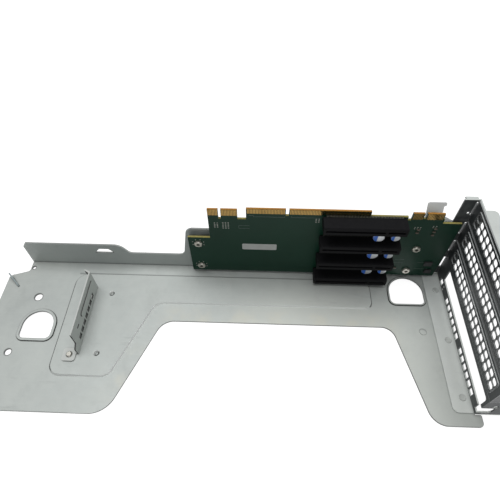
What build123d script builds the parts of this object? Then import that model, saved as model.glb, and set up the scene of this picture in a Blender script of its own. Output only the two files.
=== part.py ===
from build123d import *
import os

# Riser card assembly for a two-unit-high server. A riser board stands on its lower edge on a
# flat sheet tray and carries four card slots that face the front (-Y). A slot panel at the right
# end (+X) closes the card openings, and a retainer on the left of the tray holds long cards.
# Origin: underside of the tray (Z = 0), front face of the board (Y = 0), left end of the slots.
# All lengths are in millimetres.

os.makedirs("parts", exist_ok=True)

# Sheet gauges
TRAY_SHEET = 1.2
PANEL_SHEET = 1.0
COVER_SHEET = 0.8
RETAINER_SHEET = 1.0

# Card slots: pitch between neighbouring slots and height of the lowest one above the tray
SLOT_COUNT = 4
SLOT_PITCH = 20.32
LOWEST_SLOT = 7.4

# Slot housing (eight-lane length)
HOUSING_LENGTH = 56.0
HOUSING_DEPTH = 11.6
HOUSING_HEIGHT = 7.5
HOUSING_FOOT = 1.5
HOUSING_CHAMFER = 0.5
END_WALL = 1.7
KEY_FROM_RIGHT = 13.85
KEY_WIDTH = 1.8
MOUTH_HEIGHT = 1.8
MOUTH_DEPTH = 1.6
CAVITY_HEIGHT = 3.2

# Spring contacts inside a housing
CONTACT_PITCH = 1.0
CONTACT_WIDTH = 0.5
CONTACT_THICKNESS = 0.35
CONTACT_LENGTH = 9.5
CONTACT_CLEARANCE = 0.05
CONTACT_END_GAP = 0.3

# Riser board
BOARD_THICKNESS = 1.6
BOARD_LEFT = -95.6
BOARD_RIGHT = 95.2
BOARD_LIFT = 2.6
BOARD_STEP_X = -79.0
BOARD_STEP_HEIGHT = 44.4
BOARD_SHOULDER = 70.6
BOARD_LEFT_SHOULDER = 66.0
BOARD_RIGHT_HEIGHT = 66.2
BOARD_NOTCH_LEFT = 57.4
BOARD_NOTCH_RIGHT = 82.0
BOARD_NOTCH_DROP = 3.2

# Edge tongues of the board: left end, right end, height of the free edge above the tray
TONGUES_LEFT = ((-79.0, -71.6, 75.4), (-69.8, -58.4, 75.4))
TONGUES_MAIN = ((-52.4, -25.4, 76.8), (-23.1, 32.0, 76.8))
TONGUES_RIGHT = ((59.8, 67.6, 75.9), (69.2, 81.0, 75.9))
TONGUE_CHAMFER = 0.4
TONGUE_BEVEL = 0.35
PAD_PITCH = 1.0
PAD_WIDTH = 0.7
PAD_LENGTH = 5.6
PAD_LENGTH_MAIN = 4.3
PAD_THICKNESS = 0.06
PAD_INSET = 0.45

# Board fixing: screw grid, standoffs and screws
SCREW_LEFT = -88.3
SCREW_RIGHT = 72.4
SCREW_LOW = 9.6
SCREW_HIGH = 37.4
BOARD_HOLE_RADIUS = 1.65
STANDOFF_RADIUS = 3.0
STANDOFF_NECK = 2.0
STANDOFF_BORE = 1.5
SCREW_RADIUS = 1.45
SCREW_REACH = 4.6
SCREW_HEAD_RADIUS = 3.0
SCREW_HEAD_HEIGHT = 1.7
RECESS_RADIUS = 1.3
RECESS_WIDTH = 0.7
RECESS_DEPTH = 0.8
PRESS_GAP = 0.05

# Capacitors between the slots
CAPACITOR_HEIGHT = 7.7
CAPACITOR_BASE = 1.0
CAPACITOR_BASE_MARGIN = 0.15
CAPACITOR_CHAMFER = 0.4
CAPACITOR_DROP = 0.1

# Centre along X and radius of the two capacitors in each gap between slots
CAPACITORS = ((39.5, 4.0), (51.0, 3.2))

# Small parts on the board: left end, height above the tray, length, height and thickness
CHIPS = ((83.5, 17.0, 6.0, 4.6, 1.2), (86.6, 7.6, 5.0, 4.0, 1.2))
CHIP_CAPACITORS = ((66.5, 55.4), (66.5, 58.6), (77.8, 53.4), (77.8, 56.8), (77.8, 60.2), (62.0, 12.0))
CHIP_CAPACITOR_SIZE = (2.0, 1.2, 0.9)

# Tray outline
TRAY_LEFT = -244.0
TRAY_FRONT = -115.2
TRAY_TOE_RIGHT = 105.8
TRAY_REAR_STEP = -8.4
TRAY_CORNER = 2.0
WALL_FRONT = 5.0
WALL_LEFT = -229.4
WALL_RIGHT = 96.0
BAY_EDGE = -45.5
BAY_LEFT_REAR = -113.7
BAY_LEFT_FRONT = -142.4
BAY_RIGHT_REAR = 56.8
BAY_RIGHT_FRONT = 73.9
TRAY_FRONT_CORNER = 6.0
BAY_LEFT_FRONT_CORNER = 18.0
BAY_LEFT_REAR_CORNER = 13.0
BAY_RIGHT_REAR_CORNER = 10.0
BAY_RIGHT_FRONT_CORNER = 12.0

# Rear wall of the tray: heights above the underside
WALL_HIGH = 26.4
WALL_LOW = 16.6
WALL_BOARD = 49.2
WALL_TOP = 64.4

# Places along the rear wall where its upper edge changes height
DIP_LEFT = -152.0
DIP_LEFT_FOOT = -145.5
DIP_RIGHT_FOOT = -102.2
DIP_RIGHT = -97.2
RISE_FOOT = 62.0
RISE_TOP = 66.0
SHOULDER_END = 90.5

# Trapezoid slot in the rear wall: centre, lower and upper edge, half widths
WALL_SLOT_X = -165.5
WALL_SLOT_LOW = 16.5
WALL_SLOT_HIGH = 21.4
WALL_SLOT_BASE = 8.0
WALL_SLOT_TOP = 3.6

# Pressed field that stiffens the tray
FIELD_RISE = 1.0
FIELD_SLOPE = 40.0
FIELD_INSET = 0.5
FIELD_LEFT = -189.0
FIELD_RIGHT = 45.0
FIELD_REAR = -5.4
FIELD_FRONT = -90.5
FIELD_WAIST = -31.0
FIELD_TOE_RIGHT = -145.5
FIELD_WAIST_LEFT = -121.0

# Hand holes: centre x, centre y, radius, width of the pressed rim
HAND_HOLES = ((-207.0, -52.6, 11.6, 2.4), (72.4, -15.0, 13.0, 1.5))
HAND_HOLE_DROP = 10.6
HAND_HOLE_CORNER = 4.0
RIM_RISE = 0.9
RIM_SLOPE = 25.0

# Plain round holes in the tray: x, y, radius
LOCATING_HOLE = (-214.5, -28.3, 3.0)
SIDE_HOLE = (-222.0, -74.2, 2.4)
TAB_HOLE = (-227.0, -1.0, 1.4)
DIMPLES = ((-157.4, -23.8), (-157.4, -73.4))
DIMPLE_RADIUS = 2.2
DIMPLE_DEPTH = 0.5
STUD_MARK = (79.3, -48.6)
STUD_MARK_RADIUS = 2.6
STUD_MARK_RISE = 0.5

# Low fin bent up at the left rear corner of the tray: start, end, height and thickness
FIN_START = (-241.9, -10.0)
FIN_END = (-232.8, -19.0)
FIN_HEIGHT = 5.4
FIN_LOW = 0.8
FIN_THICKNESS = 1.0

# Leaning hook at the top of the rear wall
HOOK_LEFT = 71.8
HOOK_RIGHT = 82.8
HOOK_LENGTH = 13.5
HOOK_EAR = 1.6
HOOK_LEAN = 25.0
SHOULDER_RISE = 4.4

# Slot panel
PANEL_FACE = 100.5
PANEL_FRONT = -107.0
PANEL_MARGIN = 0.1
COVERED_WINDOW_DROP = 2.2
WINDOW_OFFSET = 8.2
WINDOW_HEIGHT = 12.4
WINDOW_REAR = -8.0
WINDOW_FRONT = -104.6
WINDOW_CORNER = 2.0
FOOT_WIDTH = 12.9
FOOT_REAR = 2.5
FOOT_CORNER = 4.0
RETURN_WIDTH = 9.9
RETURN_EYE_INSET = 3.2
RETURN_EYE_DROP = 3.4
RETURN_EYE_RADIUS = 1.0
RETURN_LIP = 3.0
TOP_FLANGE_WIDTH = 7.3
TOP_FLANGE_REAR = -5.0
LEDGE_WIDTH = 18.0
LEDGE_LIP = 4.5
NOTCH_HEIGHT = 8.3
NOTCH_REACH = 9.5
NOTCH_CORNER = 3.0

# Ventilation grid shared by the panel's foot and the covers
GRID_REAR = -6.9
GRID_PITCH = 5.78
VENT_LENGTH = 4.7
VENT_HEIGHT = 4.8
VENT_RAISE = 2.2
VENT_PLACES = (0, 3, 4, 5, 6, 7, 8, 10, 11, 12, 13, 14, 15)
VENT_PAIR_PLACE = 1
VENT_PAIR_RADIUS = 0.9

# Slot covers
COVER_WIDTH = 18.42
COVER_GAP = 0.6
TONGUE_WIDTH = 10.19
TONGUE_REACH = 5.6
TONGUE_SLOT_PLAY = 0.3
TONGUE_SLOT_SPARE = 2.0
TONGUE_SLOT_WIDTH = 1.8
TAB_REACH = 11.5
TAB_CORNER = 3.0
RIB_WIDTH = 13.8
RIB_RISE = 0.5
RIB_REAR = -3.4
RIB_FRONT = -103.0
GRID_ROWS = 17
GRID_HOLE_LENGTH = 4.9
GRID_HOLE_HEIGHT = 4.6
GRID_COLUMN_PITCH = 5.3
GRID_HOLE_CHAMFER = 1.0
COVER_SCREW_X = 108.5
COVER_SCREW_RADIUS = 1.7
COVER_SCREW_HOLE = 1.95
COVER_SCREW_HEAD = 3.2
COVER_SCREW_HEAD_HEIGHT = 2.1
COVER_SCREW_REACH = 4.4

# Card retainer on the left of the tray
RETAINER_FACE = -169.8
RETAINER_REAR = -18.0
RETAINER_FRONT = -70.2
RETAINER_TOE = -74.6
RETAINER_HEIGHT = 21.2
RETAINER_TOE_HEIGHT = 7.0
RETAINER_HOLES = 7
RETAINER_HOLE_REAR = -29.9
RETAINER_HOLE_PITCH = 5.5
RETAINER_HOLE_LENGTH = 3.6
RETAINER_HOLE_HEIGHT = 3.4
RETAINER_HOLE_RAISE = 5.4
RETAINER_RIB_LENGTH = 30.0
RETAINER_RIB_HEIGHT = 4.2
RETAINER_RIB_RISE = 0.6
RETAINER_RIB_RAISE = 14.0
RETAINER_RIB_Y = -36.8
RETAINER_EYE_Y = -59.6
RETAINER_EYE_LENGTH = 3.8
RETAINER_EYE_HEIGHT = 1.5
RETAINER_HOOK_OUT = 3.8
RETAINER_HOOK_BACK = 2.4
RETAINER_HOOK_HEIGHT = 5.0
RETAINER_FOOT = 9.4
RETAINER_FOOT_LENGTH = 9.6
RETAINER_FOOT_GAP = 0.8
RETAINER_FEET = (-24.0, -75.4)
RETAINER_RIVET_OUT = 5.4

# Rivets
RIVET_RADIUS = 1.5
RIVET_HOLE = 1.6
RIVET_HEAD = 2.3
RIVET_HEAD_HEIGHT = 1.1
RIVET_FLAT_HEIGHT = 0.6
RIVET_TAIL = 2.2
RIVET_TAIL_HEIGHT = 0.6
PANEL_RIVET_X = 95.8
PANEL_RIVET_Y = (-12.8, -55.1, -96.6)
RETURN_RIVET_X = 93.0
RETURN_RIVET_Z = (14.0, 52.0)

# Places that follow from the values above
TRAY_TOP = TRAY_SHEET
WALL_BACK = WALL_FRONT + TRAY_SHEET
FIELD_TOP = TRAY_SHEET + FIELD_RISE
PANEL_BACK = PANEL_FACE + PANEL_SHEET
BOARD_BOTTOM = TRAY_TOP + BOARD_LIFT
RETAINER_RIVET_X = RETAINER_FACE - RETAINER_SHEET - RETAINER_RIVET_OUT
SLOT_HEIGHTS = [TRAY_TOP + LOWEST_SLOT + SLOT_PITCH * k for k in range(SLOT_COUNT)]
WINDOW_HEIGHTS = [z + WINDOW_OFFSET for z in SLOT_HEIGHTS]
PANEL_TOP = WINDOW_HEIGHTS[-1] + COVER_WIDTH / 2 + PANEL_MARGIN
SCREW_PLACES = [(x, TRAY_TOP + z) for x in (SCREW_LEFT, SCREW_RIGHT) for z in (SCREW_LOW, SCREW_HIGH)]
LEDGE_END = PANEL_FACE + LEDGE_WIDTH


def span(u0, v0, u1, v1):
    """Rectangle between two opposite corners."""
    return Pos((u0 + u1) / 2, (v0 + v1) / 2) * Rectangle(abs(u1 - u0), abs(v1 - v0))


def rounded(points):
    """Closed outline from (u, v, corner radius) points, facing up whatever their order."""
    turn = sum(a[0] * b[1] - b[0] * a[1] for a, b in zip(points, points[1:] + points[:1]))
    if turn < 0:
        points = points[::-1]
    face = Polygon(*[(u, v) for u, v, radius in points], align=None)
    for u, v, radius in points:
        if radius > 0:
            corner = face.vertices().sort_by_distance((u, v, 0))[0]
            face = fillet(corner, radius)
    return face


def up_from(z, face, height):
    """Face drawn as (x, y), thickened upwards from z."""
    return extrude(Plane.XY.offset(z) * face, height)


def back_from(y, face, depth):
    """Face drawn as (x, z), thickened to the rear from y."""
    return extrude(Plane.XZ.offset(-y) * face, -depth)


def right_from(x, face, depth):
    """Face drawn as (y, z), thickened to the right from x."""
    return extrude(Plane.YZ.offset(x) * face, depth)


def block(x0, y0, z0, x1, y1, z1):
    """Box between two opposite corners."""
    return up_from(z0, span(x0, y0, x1, y1), z1 - z0)


def upright(x, y, z0, z1, radius):
    """Round bar along Z."""
    return up_from(z0, Pos(x, y) * Circle(radius), z1 - z0)


def level(x, z, y0, y1, radius):
    """Round bar along Y."""
    return back_from(y0, Pos(x, z) * Circle(radius), y1 - y0)


def group(solids):
    """Several separate solids that share one node."""
    return Compound([solid for shape in solids for solid in shape.solids()])


def hand_hole(x, y, radius):
    """Half-round hole with a straight front edge."""
    outline = (Circle(radius) & span(-radius, 0, radius, radius)) + span(-radius, -HAND_HOLE_DROP, radius, 0)
    corners = outline.vertices().group_by(Axis.Y)[0]
    return Pos(x, y) * fillet(corners, HAND_HOLE_CORNER)


def pressed_up(outline, rise, slope):
    """Boss and matching hollow of a field pressed up from the tray."""
    boss = extrude(Plane.XY.offset(TRAY_TOP) * outline, rise, taper=slope)
    hollow = extrude(Plane.XY * offset(outline, -FIELD_INSET), rise, taper=slope)
    return boss, hollow


def make_tray():
    """Flat sheet with a wide bay at the front, pressed field, rear wall and hand holes."""
    plate = up_from(0, rounded([
        (WALL_LEFT, WALL_BACK, 0), (WALL_LEFT, TRAY_REAR_STEP + 4.2, 2.5),
        (TRAY_LEFT + TRAY_CORNER, TRAY_REAR_STEP, 0), (TRAY_LEFT, TRAY_REAR_STEP - TRAY_CORNER, 0),
        (TRAY_LEFT, TRAY_FRONT, TRAY_FRONT_CORNER), (BAY_LEFT_FRONT, TRAY_FRONT, BAY_LEFT_FRONT_CORNER),
        (BAY_LEFT_REAR, BAY_EDGE, BAY_LEFT_REAR_CORNER), (BAY_RIGHT_REAR, BAY_EDGE, BAY_RIGHT_REAR_CORNER),
        (BAY_RIGHT_FRONT, TRAY_FRONT, BAY_RIGHT_FRONT_CORNER), (TRAY_TOE_RIGHT, TRAY_FRONT, 3),
        (TRAY_TOE_RIGHT, PANEL_FRONT - 0.3, 1), (PANEL_BACK, PANEL_FRONT - 0.3, 0),
        (PANEL_BACK, WALL_BACK, 0)]), TRAY_SHEET)
    wall = back_from(WALL_FRONT, rounded([
        (WALL_LEFT, 0, 0), (WALL_LEFT, WALL_HIGH - 4.2, 1), (WALL_LEFT + 2.8, WALL_HIGH, 1),
        (DIP_LEFT, WALL_HIGH, 9), (DIP_LEFT_FOOT, WALL_LOW, 5), (DIP_RIGHT_FOOT, WALL_LOW, 5),
        (DIP_RIGHT, WALL_BOARD, 6), (RISE_FOOT, WALL_BOARD, 4), (RISE_TOP, WALL_TOP, 2),
        (WALL_RIGHT, WALL_TOP, 1), (WALL_RIGHT, 0, 0)]), TRAY_SHEET)
    lean = Plane(origin=(0, WALL_FRONT, WALL_TOP), x_dir=(1, 0, 0), z_dir=(0, -1, 0)).rotated((-HOOK_LEAN, 0, 0))
    hook = extrude(lean * rounded([
        (HOOK_LEFT, -0.5, 0), (HOOK_LEFT, HOOK_LENGTH, 1.2), (HOOK_RIGHT + HOOK_EAR, HOOK_LENGTH, 0.6),
        (HOOK_RIGHT + HOOK_EAR, HOOK_LENGTH - 2, 0), (HOOK_RIGHT, HOOK_LENGTH - 2.8, 0),
        (HOOK_RIGHT, SHOULDER_RISE, 1), (SHOULDER_END, 0.5, 0), (SHOULDER_END, -0.5, 0)]), -TRAY_SHEET)
    run = Vector(*FIN_END) - Vector(*FIN_START)
    fin_plane = Plane(origin=(*FIN_START, TRAY_TOP), x_dir=run, z_dir=run.cross(Vector(0, 0, 1)))
    fin = extrude(fin_plane * Polygon(
        (0, -0.4), (run.length, -0.4), (run.length, FIN_LOW), (0, FIN_HEIGHT), align=None), FIN_THICKNESS)
    field = rounded([
        (FIELD_LEFT, FIELD_REAR, 10), (FIELD_LEFT, FIELD_FRONT, 9), (FIELD_TOE_RIGHT, FIELD_FRONT, 9),
        (FIELD_WAIST_LEFT, FIELD_WAIST, 10), (FIELD_RIGHT, FIELD_WAIST, 6), (FIELD_RIGHT, FIELD_REAR, 8)])
    boss, hollow = pressed_up(field, FIELD_RISE, FIELD_SLOPE)
    tray = plate + wall + hook + fin + boss - hollow
    for x, y, radius, rim in HAND_HOLES:
        outline = hand_hole(x, y, radius)
        boss, hollow = pressed_up(offset(outline, rim), RIM_RISE, RIM_SLOPE)
        tray = tray + boss - hollow - up_from(-1, outline, 2 + FIELD_TOP)
    for x, y, radius in (LOCATING_HOLE, SIDE_HOLE, TAB_HOLE):
        tray -= upright(x, y, -1, FIELD_TOP + 1, radius)
    for x, y in DIMPLES:
        cup = Cone(DIMPLE_RADIUS / 2, DIMPLE_RADIUS, DIMPLE_DEPTH)
        tray -= Pos(x, y, FIELD_TOP - DIMPLE_DEPTH / 2) * cup
    mark = Pos(*STUD_MARK) * Circle(STUD_MARK_RADIUS)
    tray += extrude(Plane.XY.offset(TRAY_TOP) * mark, STUD_MARK_RISE, taper=RIM_SLOPE)
    tray -= up_from(0, mark, STUD_MARK_RISE)
    for x, z in SCREW_PLACES:
        tray -= level(x, z, WALL_FRONT - 1, WALL_BACK + 1, STANDOFF_NECK + PRESS_GAP)
    tray -= back_from(WALL_FRONT - 1, rounded([
        (WALL_SLOT_X - WALL_SLOT_BASE, WALL_SLOT_LOW, 0), (WALL_SLOT_X + WALL_SLOT_BASE, WALL_SLOT_LOW, 0),
        (WALL_SLOT_X + WALL_SLOT_TOP, WALL_SLOT_HIGH, 0.6), (WALL_SLOT_X - WALL_SLOT_TOP, WALL_SLOT_HIGH, 0.6)]),
        TRAY_SHEET + 2)
    for y in PANEL_RIVET_Y:
        tray -= upright(PANEL_RIVET_X, y, -1, TRAY_TOP + 1, RIVET_HOLE)
    for y in RETAINER_FEET:
        tray -= upright(RETAINER_RIVET_X, y, -1, FIELD_TOP + 1, RIVET_HOLE)
    for z in RETURN_RIVET_Z:
        tray -= level(RETURN_RIVET_X, z, WALL_FRONT - 1, WALL_BACK + 1, RIVET_HOLE)
    return tray


def make_panel():
    """Upright panel with card windows, foot, rear return, top flange and front ledge."""
    panel = right_from(PANEL_FACE, span(PANEL_FRONT, TRAY_TOP, WALL_FRONT, PANEL_TOP), PANEL_SHEET)
    foot = up_from(TRAY_TOP, rounded([
        (PANEL_FACE - FOOT_WIDTH, FOOT_REAR, 1), (PANEL_FACE - FOOT_WIDTH, PANEL_FRONT + 0.5, FOOT_CORNER),
        (PANEL_FACE + 0.5, PANEL_FRONT + 0.5, 0), (PANEL_FACE + 0.5, FOOT_REAR, 0)]), PANEL_SHEET)
    back = WALL_FRONT - PANEL_SHEET
    ret = back_from(back, rounded([
        (PANEL_FACE - RETURN_WIDTH, TRAY_TOP + PANEL_SHEET + 0.3, 1), (PANEL_FACE - RETURN_WIDTH, PANEL_TOP, 1),
        (PANEL_BACK, PANEL_TOP, 0), (PANEL_BACK, TRAY_TOP + PANEL_SHEET + 0.3, 0)]), PANEL_SHEET)
    lip = block(PANEL_FACE - RETURN_WIDTH + 1, back, PANEL_TOP - PANEL_SHEET,
                PANEL_FACE - 0.7, back + RETURN_LIP, PANEL_TOP)
    top = up_from(PANEL_TOP - PANEL_SHEET, rounded([
        (PANEL_FACE + 0.5, TOP_FLANGE_REAR, 0), (PANEL_FACE + 0.5, PANEL_FRONT + 2.5, 0),
        (PANEL_BACK + TOP_FLANGE_WIDTH, PANEL_FRONT + 2.5, 3),
        (PANEL_BACK + TOP_FLANGE_WIDTH, TOP_FLANGE_REAR, 3)]), PANEL_SHEET)
    ledge = back_from(PANEL_FRONT, rounded([
        (PANEL_FACE, TRAY_TOP, 0), (LEDGE_END, TRAY_TOP, 1),
        (LEDGE_END, PANEL_TOP - PANEL_SHEET, 2), (PANEL_FACE, PANEL_TOP - PANEL_SHEET, 0)]), PANEL_SHEET)
    panel = panel + foot + ret + lip + top + ledge
    notch_low, notch_high = TRAY_TOP + LEDGE_LIP, TRAY_TOP + LEDGE_LIP + NOTCH_HEIGHT
    panel -= back_from(PANEL_FRONT - 1, rounded([
        (PANEL_FACE - 1, notch_low, 0), (PANEL_FACE + NOTCH_REACH, notch_low, NOTCH_CORNER),
        (PANEL_FACE + NOTCH_REACH, notch_high, NOTCH_CORNER), (PANEL_FACE - 1, notch_high, 0)]),
        WINDOW_FRONT - PANEL_FRONT + WINDOW_CORNER / 2 + 1)
    for number, z in enumerate(WINDOW_HEIGHTS):
        low, high = z - WINDOW_HEIGHT / 2, z + WINDOW_HEIGHT / 2
        if number > 0:
            low -= COVERED_WINDOW_DROP
        window = rounded([
            (WINDOW_FRONT, low, WINDOW_CORNER), (WINDOW_REAR, low, 0.5),
            (WINDOW_REAR, high, 0.5), (WINDOW_FRONT, high, WINDOW_CORNER)])
        panel -= right_from(PANEL_FACE - 1, window, PANEL_SHEET + 2)
        slot_low = z - TONGUE_WIDTH / 2 - TONGUE_SLOT_PLAY
        slot_high = z + TONGUE_WIDTH / 2 + TONGUE_SLOT_PLAY + TONGUE_SLOT_SPARE
        panel -= block(PANEL_FACE - TONGUE_SLOT_WIDTH, back - 1, slot_low, PANEL_FACE, back + 2, slot_high)
    vent_low = TRAY_TOP + VENT_RAISE
    for place in VENT_PLACES:
        y = GRID_REAR - GRID_PITCH * place
        vent = span(y - VENT_LENGTH / 2, vent_low, y + VENT_LENGTH / 2, vent_low + VENT_HEIGHT)
        panel -= right_from(PANEL_FACE - 1, vent, PANEL_SHEET + 2)
    y = GRID_REAR - GRID_PITCH * VENT_PAIR_PLACE
    for z in (vent_low + VENT_PAIR_RADIUS, vent_low + VENT_HEIGHT - VENT_PAIR_RADIUS):
        panel -= right_from(PANEL_FACE - 1, Pos(y, z) * Circle(VENT_PAIR_RADIUS), PANEL_SHEET + 2)
    for z in WINDOW_HEIGHTS:
        panel -= level(COVER_SCREW_X, z, PANEL_FRONT - 1, PANEL_FRONT + PANEL_SHEET + 1, COVER_SCREW_HOLE)
    for y in PANEL_RIVET_Y:
        panel -= upright(PANEL_RIVET_X, y, TRAY_TOP - 1, TRAY_TOP + PANEL_SHEET + 1, RIVET_HOLE)
    for z in RETURN_RIVET_Z:
        panel -= level(RETURN_RIVET_X, z, back - 1, WALL_FRONT + 1, RIVET_HOLE)
    eye_x, eye_z = PANEL_FACE - RETURN_EYE_INSET, WINDOW_HEIGHTS[3] - RETURN_EYE_DROP
    panel -= level(eye_x, eye_z, back - 1, WALL_FRONT + 1, RETURN_EYE_RADIUS)
    return panel


def make_cover(z):
    """Slot cover with a pressed, perforated rib, a rear tongue and a front screw tab."""
    inner = PANEL_FACE - COVER_SHEET
    back = WALL_FRONT - PANEL_SHEET
    half = COVER_WIDTH / 2
    front = PANEL_FRONT - COVER_SHEET
    low = z - TONGUE_WIDTH / 2
    sheet = span(front, z - half, back - COVER_GAP, z + half)
    sheet += rounded([
        (back - COVER_GAP - 1, low, 0), (back + TONGUE_REACH, low, 1.5),
        (back + TONGUE_REACH, low + TONGUE_WIDTH, 1.5), (back - COVER_GAP - 1, low + TONGUE_WIDTH, 0)])
    cover = right_from(inner, sheet, COVER_SHEET)
    cover += back_from(front, rounded([
        (inner, z - half, 0), (PANEL_FACE + TAB_REACH, z - half, TAB_CORNER),
        (PANEL_FACE + TAB_REACH, z + half, TAB_CORNER), (inner, z + half, 0)]), COVER_SHEET)
    rib = rounded([
        (-RIB_REAR, z - RIB_WIDTH / 2, 1.5), (-RIB_FRONT, z - RIB_WIDTH / 2, 1.5),
        (-RIB_FRONT, z + RIB_WIDTH / 2, 1.5), (-RIB_REAR, z + RIB_WIDTH / 2, 1.5)])
    facing_in = Plane(origin=(inner, 0, 0), x_dir=(0, -1, 0), z_dir=(-1, 0, 0))
    cover += extrude(facing_in * rib, RIB_RISE, taper=FIELD_SLOPE / 2)
    cover -= extrude(facing_in.offset(-COVER_SHEET) * offset(rib, -0.3), RIB_RISE, taper=FIELD_SLOPE / 2)
    cell = span(-GRID_HOLE_LENGTH / 2, -GRID_HOLE_HEIGHT / 2, GRID_HOLE_LENGTH / 2, GRID_HOLE_HEIGHT / 2)
    cell = chamfer(cell.vertices(), GRID_HOLE_CHAMFER)
    cells = [
        Pos(GRID_REAR - GRID_PITCH * row, z + side * GRID_COLUMN_PITCH / 2) * cell
        for row in range(GRID_ROWS) for side in (-1, 1)]
    cover -= right_from(inner - RIB_RISE - 1, Sketch() + cells, RIB_RISE + COVER_SHEET + 2)
    cover -= level(COVER_SCREW_X, z, front - 1, PANEL_FRONT + 1, COVER_SCREW_HOLE)
    return cover


def make_board():
    """Riser board with stepped ends and tongues along its upper edge."""
    shoulder = TRAY_TOP + BOARD_SHOULDER
    right_top = TRAY_TOP + BOARD_RIGHT_HEIGHT
    main_left = TONGUES_MAIN[0][0]
    outline = span(BOARD_LEFT, BOARD_BOTTOM, BOARD_STEP_X + 1, TRAY_TOP + BOARD_STEP_HEIGHT)
    outline += span(BOARD_STEP_X, BOARD_BOTTOM, main_left + 1, TRAY_TOP + BOARD_LEFT_SHOULDER)
    outline += span(main_left, BOARD_BOTTOM, BOARD_NOTCH_LEFT, shoulder)
    outline += span(TONGUES_MAIN[-1][1] - 1, shoulder - 1, BOARD_NOTCH_LEFT, shoulder + 1.4)
    outline += span(BOARD_NOTCH_LEFT - 1, BOARD_BOTTOM, BOARD_NOTCH_RIGHT, shoulder)
    outline += span(BOARD_NOTCH_RIGHT - 1, BOARD_BOTTOM, BOARD_RIGHT, right_top)
    outline -= span(BOARD_NOTCH_LEFT, shoulder - BOARD_NOTCH_DROP / 2, TONGUES_RIGHT[0][0], shoulder + 3)
    board = back_from(0, outline, BOARD_THICKNESS)
    for left, right, height in TONGUES_LEFT + TONGUES_MAIN + TONGUES_RIGHT:
        top = TRAY_TOP + height
        root = TRAY_TOP + (BOARD_LEFT_SHOULDER if right < main_left else BOARD_SHOULDER) - 1
        tongue = chamfer(span(left, root, right, top).vertices().group_by(Axis.Y)[-1], TONGUE_CHAMFER)
        tongue = back_from(0, tongue, BOARD_THICKNESS)
        tongue = chamfer(tongue.faces().sort_by(Axis.Z)[-1].edges().filter_by(Axis.X), TONGUE_BEVEL)
        board += tongue
    for x, z in SCREW_PLACES:
        board -= level(x, z, -1, BOARD_THICKNESS + 1, BOARD_HOLE_RADIUS)
    return board


def edge_pads(tongues, length):
    """Gold pads on both faces of a set of tongues."""
    pads = []
    for left, right, height in tongues:
        count = int((right - left - 2 * TONGUE_CHAMFER) / PAD_PITCH + 0.5)
        first = (left + right - PAD_PITCH * (count - 1)) / 2
        top = TRAY_TOP + height - PAD_INSET
        for k in range(count):
            x = first + PAD_PITCH * k
            pad = span(x - PAD_WIDTH / 2, top - length, x + PAD_WIDTH / 2, top)
            pads.append(back_from(-PAD_THICKNESS, pad, PAD_THICKNESS))
            pads.append(back_from(BOARD_THICKNESS, pad, PAD_THICKNESS))
    return group(pads)


def housing_bays():
    """Left and right ends of the two contact bays of a housing."""
    key = HOUSING_LENGTH - KEY_FROM_RIGHT
    return ((END_WALL, key - KEY_WIDTH / 2), (key + KEY_WIDTH / 2, HOUSING_LENGTH - END_WALL))


def make_housing(z):
    """Slot housing with a keyed mouth and a wider contact cavity behind it."""
    half = HOUSING_HEIGHT / 2
    housing = block(0, -HOUSING_DEPTH, z - half, HOUSING_LENGTH, -HOUSING_FOOT, z + half)
    front = housing.faces().sort_by(Axis.Y)[0]
    housing = chamfer(front.edges().filter_by(Axis.X), HOUSING_CHAMFER)
    for left, right in housing_bays():
        housing -= block(left, -HOUSING_DEPTH - 1, z - MOUTH_HEIGHT / 2,
                         right, -HOUSING_DEPTH + MOUTH_DEPTH, z + MOUTH_HEIGHT / 2)
        housing -= block(left, -HOUSING_DEPTH + MOUTH_DEPTH, z - CAVITY_HEIGHT / 2,
                         right, 0, z + CAVITY_HEIGHT / 2)
    for x in (0, HOUSING_LENGTH - END_WALL):
        housing += block(x, -HOUSING_FOOT, z - half / 2, x + END_WALL, 0, z + half / 2)
    return housing


def make_contacts(z):
    """Two rows of spring blades standing on the board inside a housing."""
    blades = []
    inner = CAVITY_HEIGHT / 2 - CONTACT_CLEARANCE - CONTACT_THICKNESS
    for left, right in housing_bays():
        room = right - left - CONTACT_WIDTH - 2 * CONTACT_END_GAP
        count = int(room / CONTACT_PITCH) + 1
        first = (left + right - CONTACT_PITCH * (count - 1)) / 2
        for k in range(count):
            x = first + CONTACT_PITCH * k - CONTACT_WIDTH / 2
            for low in (z + inner, z - inner - CONTACT_THICKNESS):
                blades.append(block(x, -CONTACT_LENGTH, low, x + CONTACT_WIDTH, 0, low + CONTACT_THICKNESS))
    return group(blades)


def make_standoff(x, z):
    """Threaded spacer pressed into the rear wall."""
    body = level(x, z, BOARD_THICKNESS, WALL_FRONT, STANDOFF_RADIUS)
    body += level(x, z, WALL_FRONT, WALL_BACK, STANDOFF_NECK)
    return body - level(x, z, BOARD_THICKNESS - 1, WALL_BACK + 1, STANDOFF_BORE)


def cross_recess(x, z, y):
    """Cross-shaped driver recess cut from y to the rear."""
    arms = Rectangle(2 * RECESS_RADIUS, RECESS_WIDTH) + Rectangle(RECESS_WIDTH, 2 * RECESS_RADIUS)
    return back_from(y, Pos(x, z) * arms, RECESS_DEPTH)


def make_board_screw(x, z):
    """Pan-head screw that holds the board against a standoff."""
    head = level(x, z, -SCREW_HEAD_HEIGHT, 0, SCREW_HEAD_RADIUS)
    head = chamfer(head.faces().sort_by(Axis.Y)[0].edges(), 0.5)
    screw = head + level(x, z, 0, SCREW_REACH, SCREW_RADIUS)
    return screw - cross_recess(x, z, -SCREW_HEAD_HEIGHT)


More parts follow.
